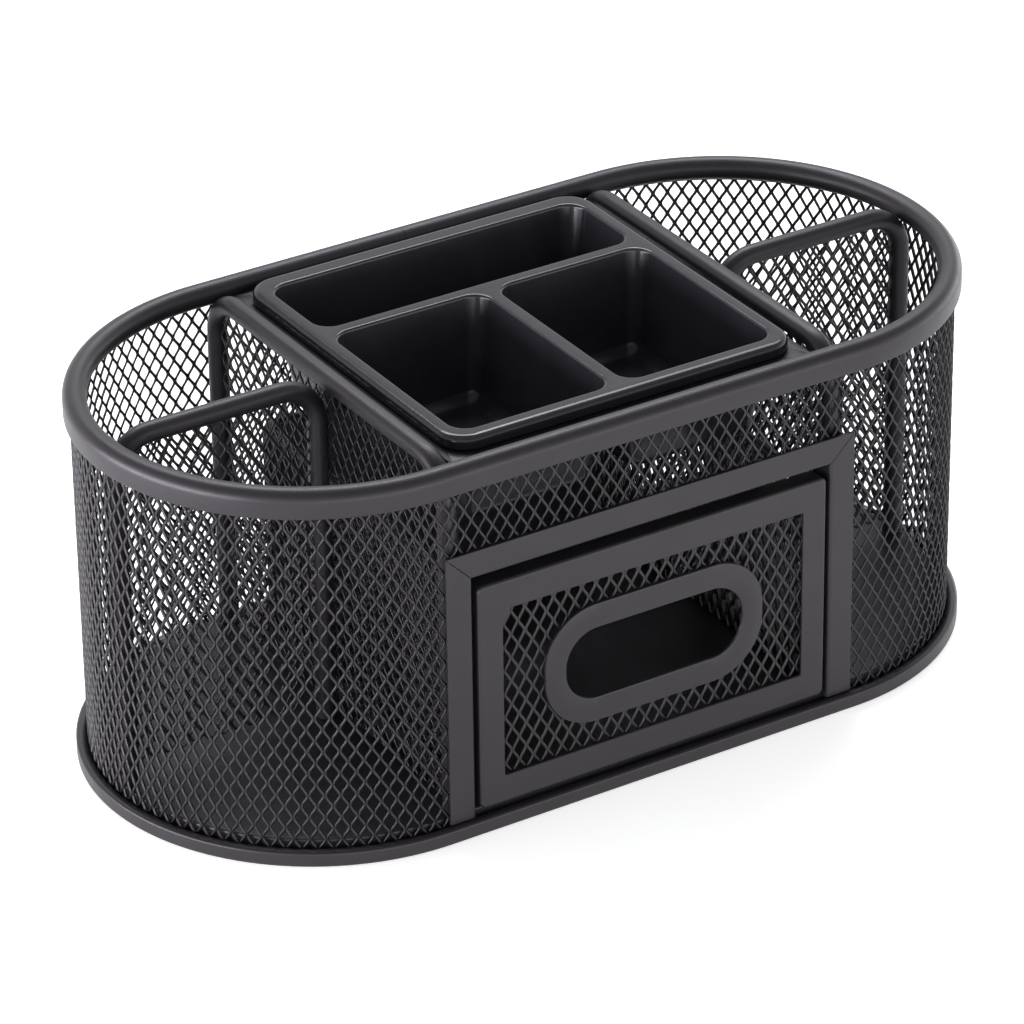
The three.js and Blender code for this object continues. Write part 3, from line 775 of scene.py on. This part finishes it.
def deck(outer, holes):
    """Flat face between an outline and its holes, as triangles on the loops' own points."""
    loops = [outer] + holes
    points = [p for loop in loops for p in loop]
    return points, [list(t) for t in tessellate_polygon([[Vector(p) for p in loop] for loop in loops])]


def weld(shell, grid=1e-4):
    """Joins points that share a place."""
    points, faces = shell
    seen, kept, index = {}, [], []
    for p in points:
        key = tuple(round(c / grid) for c in p)
        if key not in seen:
            seen[key] = len(kept)
            kept.append(p)
        index.append(seen[key])
    merged = []
    for f in faces:
        g = [index[i] for i in f]
        g = [v for i, v in enumerate(g) if v != g[i - 1]]
        if len(set(g)) > 2:
            merged.append(g)
    return kept, merged


def cup(well, mouth, inset, bottom, steps):
    """A well's inner or outer surface: the mouth's loops, the drafted wall, the fillet and the floor."""
    loops = mouth + [well_loop(well, inset + WELL_FILLET * (1 - math.cos(a)),
                               bottom + WELL_FILLET * (1 - math.sin(a))) for a in quarter(steps)]
    return [skin(loops, caps=False), (loops[-1], [list(range(len(loops[-1])))])]


def tray_shell():
    """The tray's outer skin with its rolled lip and skirt, and the inner and outer skin of each well."""
    under = HEIGHT - TRAY_WALL
    lip = [tray_loop(LIP_R - LIP_R * math.sin(a), HEIGHT - LIP_R + LIP_R * math.cos(a)) for a in quarter(6)]
    lip += [tray_loop(0, SKIRT_LOW + SKIRT_EDGE), tray_loop(SKIRT_EDGE, SKIRT_LOW),
            tray_loop(TRAY_WALL - SKIRT_EDGE, SKIRT_LOW), tray_loop(TRAY_WALL, SKIRT_LOW + SKIRT_EDGE),
            tray_loop(TRAY_WALL, under)]
    shells = [skin(lip, caps=False)]
    tops, bottoms = [], []
    for well in wells:
        mouth = [well_loop(well, -MOUTH_R + MOUTH_R * math.sin(a), HEIGHT - MOUTH_R + MOUTH_R * math.cos(a))
                 for a in quarter(5)]
        outside = [well_loop(well, -TRAY_WALL, under)]
        tops.append(mouth[0])
        bottoms.append(outside[0])
        shells += cup(well, mouth, DRAFT, TRAY_FLOOR, 8)
        shells += cup(well, outside, DRAFT - TRAY_WALL, TRAY_FLOOR - TRAY_WALL, 6)
    shells.append(deck(lip[0], tops))
    shells.append(deck(lip[-1], bottoms))
    return weld(merge(*shells))


moulding = piece("tray_moulded", tray_shell(), plastic, "tray", ["organizer_tray"], sharp=TRAY_SHARP,
                 flat=BROAD_AREA)
moulding.modifiers.new("even_normals", "WEIGHTED_NORMAL").keep_sharp = True

hole_edge = TRAY_WALL + HOLE_CLEAR


def ledge_hole(inset, z):
    """The outline of the ledge's hole, let out by inset."""
    grow = hole_edge + inset
    return [(x, y, z) for x, y in rounded(-WELL_HALF - grow, WELL_HALF + grow, WELL_FRONT - grow,
                                          WELL_BACK + grow, HOLE_CORNER + inset, 8)]


def ledge_edge(inset, z):
    """The ledge's outer outline, drawn in by inset."""
    return [(x, y, z) for x, y in rounded(ledge.x0 + inset, ledge.x1 - inset, ledge.y0 + inset,
                                          ledge.y1 - inset, LEDGE_CORNER, 8)]


ledge_under = ledge.z1 - SHEET
ledge_loops = [ledge_edge(CUT, ledge.z1), ledge_edge(0, ledge.z1 - CUT), ledge_edge(0, ledge_under),
               ledge_hole(SHEET + HOLE_INNER_FOLD, ledge_under),
               ledge_hole(SHEET, ledge_under - HOLE_INNER_FOLD),
               ledge_hole(SHEET, ledge.z0), ledge_hole(0, ledge.z0), ledge_hole(0, ledge.z1 - HOLE_FOLD),
               ledge_hole(HOLE_PART, ledge.z1 - HOLE_PART), ledge_hole(HOLE_FOLD, ledge.z1)]
piece("tray_ledge_sheet", skin(ledge_loops, wrap=True), coat, "body", ["tray_ledge_frame"])


# ---- floor, light and camera, in metres --------------------------------------------------------

STAGE = 4.0                         # half the floor's side
FLOOR_COLOUR, FLOOR_ROUGH, FLOOR_GLOW = (0.86, 0.86, 0.86, 1), 0.7, 0.55
SKY_STOPS = ((0.0, 1.0), (0.42, 0.95), (0.62, 0.3), (1.0, 0.3))     # brightness from horizon to zenith
CARD_AWAY, CARD_H = 1.1, 0.26       # low light cards round the object
CARDS = (("front", 0, 1.7, 5.5), ("right", 90, 1.7, 4), ("left", 264, 1.3, 20))     # turn, width, watts
CARD_TINT = (0.97, 0.98, 1.0)
OVERHEADS = (("back", (0.22, 0.84, 1.34), (1.0, 0.55), 16),         # place, size, watts
             ("right", (0.81, 0.63, 1.23), (0.7, 0.6), 6))
OVERHEAD_TINT = (0.92, 0.96, 1.0)
OVERHEAD_AIM = (0, 0, 0.05)
AZIMUTH, ELEVATION, ROLL = (math.radians(a) for a in (-31.71, 28.82, -0.79))
DISTANCE = 1.5954
SENSOR, LENS = 36, 193.68
AIM = Vector((-0.0064, -0.0041, 0.0569))


def look_matrix(place, back, roll=0.0):
    """Camera or lamp matrix at place, whose local +Z is back."""
    back = back.normalized()
    right = Vector((0, 0, 1)).cross(back).normalized()
    up = back.cross(right)
    right, up = (right * math.cos(roll) + up * math.sin(roll), up * math.cos(roll) - right * math.sin(roll))
    turn = Matrix((right, up, back)).transposed().to_4x4()
    return Matrix.Translation(place) @ turn


def softbox(name, place, target, size, power, colour):
    """A rectangular lamp of a size in metres, at place, aimed at target."""
    lamp = bpy.data.lights.new(name, "AREA")
    lamp.shape = "RECTANGLE"
    lamp.size, lamp.size_y = size
    lamp.energy = power
    lamp.color = colour
    thing = bpy.data.objects.new(name, lamp)
    bpy.context.scene.collection.objects.link(thing)
    thing.matrix_world = look_matrix(Vector(place), Vector(place) - Vector(target))
    thing.visible_camera = False


stage_mesh = bpy.data.meshes.new("floor")
stage_mesh.from_pydata([(-STAGE, -STAGE, 0), (STAGE, -STAGE, 0), (STAGE, STAGE, 0), (-STAGE, STAGE, 0)], [],
                       [(0, 1, 2, 3)])
pale = bpy.data.materials.new("pale_floor")
pale.use_nodes = True
paint = pale.node_tree.nodes["Principled BSDF"].inputs
paint["Base Color"].default_value = FLOOR_COLOUR
paint["Roughness"].default_value = FLOOR_ROUGH
paint["Emission Color"].default_value = (1, 1, 1, 1)
paint["Emission Strength"].default_value = FLOOR_GLOW
stage_mesh.materials.append(pale)
stage_floor = bpy.data.objects.new("floor", stage_mesh)
bpy.context.scene.collection.objects.link(stage_floor)

world = bpy.data.worlds.new("studio")
world.use_nodes = True
sky = world.node_tree
upward = add_node(sky, "ShaderNodeSeparateXYZ", {
    "Vector": add_node(sky, "ShaderNodeTexCoord").outputs["Generated"]}).outputs["Z"]
background = sky.nodes["Background"].inputs
sky.links.new(ramp(sky, upward, *SKY_STOPS), background["Color"])
background["Strength"].default_value = 1.0
bpy.context.scene.world = world

for label, turn, width, power in CARDS:
    a = math.radians(turn)
    place = (CARD_AWAY * math.sin(a), -CARD_AWAY * math.cos(a), CARD_H / 2)
    softbox(f"card_{label}", place, (0, 0, CARD_H / 2), (width, CARD_H), power, CARD_TINT)
for label, place, size, power in OVERHEADS:
    softbox(f"overhead_{label}", place, OVERHEAD_AIM, size, power, OVERHEAD_TINT)

away = Vector((math.sin(AZIMUTH) * math.cos(ELEVATION), -math.cos(AZIMUTH) * math.cos(ELEVATION),
               math.sin(ELEVATION)))
lens = bpy.data.cameras.new("camera")
lens.sensor_width = SENSOR
lens.lens = LENS
camera = bpy.data.objects.new("camera", lens)
bpy.context.scene.collection.objects.link(camera)
camera.matrix_world = look_matrix(AIM + away * DISTANCE, away, roll=ROLL)
bpy.context.scene.camera = camera
bpy.context.scene.view_settings.view_transform = "Standard"
